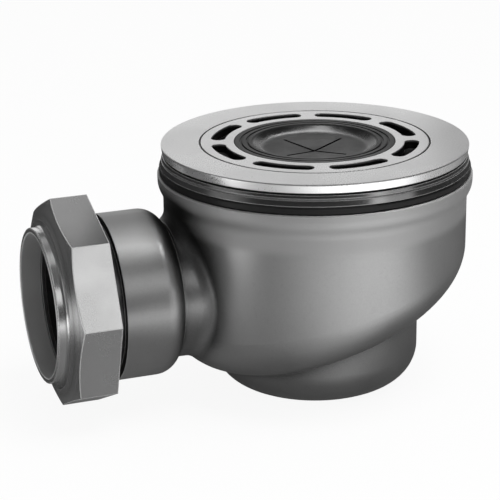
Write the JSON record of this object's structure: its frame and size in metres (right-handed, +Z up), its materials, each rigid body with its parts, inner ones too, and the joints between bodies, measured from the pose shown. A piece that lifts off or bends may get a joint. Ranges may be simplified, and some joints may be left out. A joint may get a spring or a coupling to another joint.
{
  "type": "washing machine drain trap",
  "caption": "Cast pot trap for a washing machine: slotted grate with a rubber hose cuff in a clamped floor flange, a sump with a dip tube, and a side outlet with an octagonal union nut.",
  "frame": {"origin": "the centre of the flange's top face, where the grate lies flush", "axes": "+Z up along the pot's axis, the outlet leaves along -X, +Y away from the camera's side"},
  "size_m": [0.1672, 0.118, 0.0934],
  "materials": {
    "cast_metal": "satin",
    "turned_metal": "satin",
    "plated_metal": "satin",
    "black_rubber": "satin",
    "grey_plastic": "satin"
  },
  "bodies": {
    "trap": {"trap_body": "cast_metal", "body_gasket": "black_rubber", "clamp_ring": "turned_metal", "flange_gasket": "black_rubber", "flange_ring": "plated_metal", "grate": "plated_metal", "hose_cuff": "black_rubber", "dip_tube": "grey_plastic", "dip_tube_o_ring": "black_rubber", "weir_tube": "turned_metal", "outlet_seal": "black_rubber"},
    "slip": {"slip_ring": "turned_metal"},
    "nut": {"union_nut": "turned_metal"}
  },
  "joints": [
    {"name": "nut_travel", "type": "slide", "parent": "trap", "child": "slip", "axis": [-1, 0, 0], "range_m": [0, 0.0093]},
    {"name": "nut_turn", "type": "hinge", "parent": "slip", "child": "nut", "pos_m": [-0.095, 0, -0.0508], "axis": [-1, 0, 0], "range_deg": [0, 1440]}
  ],
  "couplings": [
    {"joint": "nut_travel", "follows": "nut_turn", "m_per_rad": 0.0003675}
  ]
}
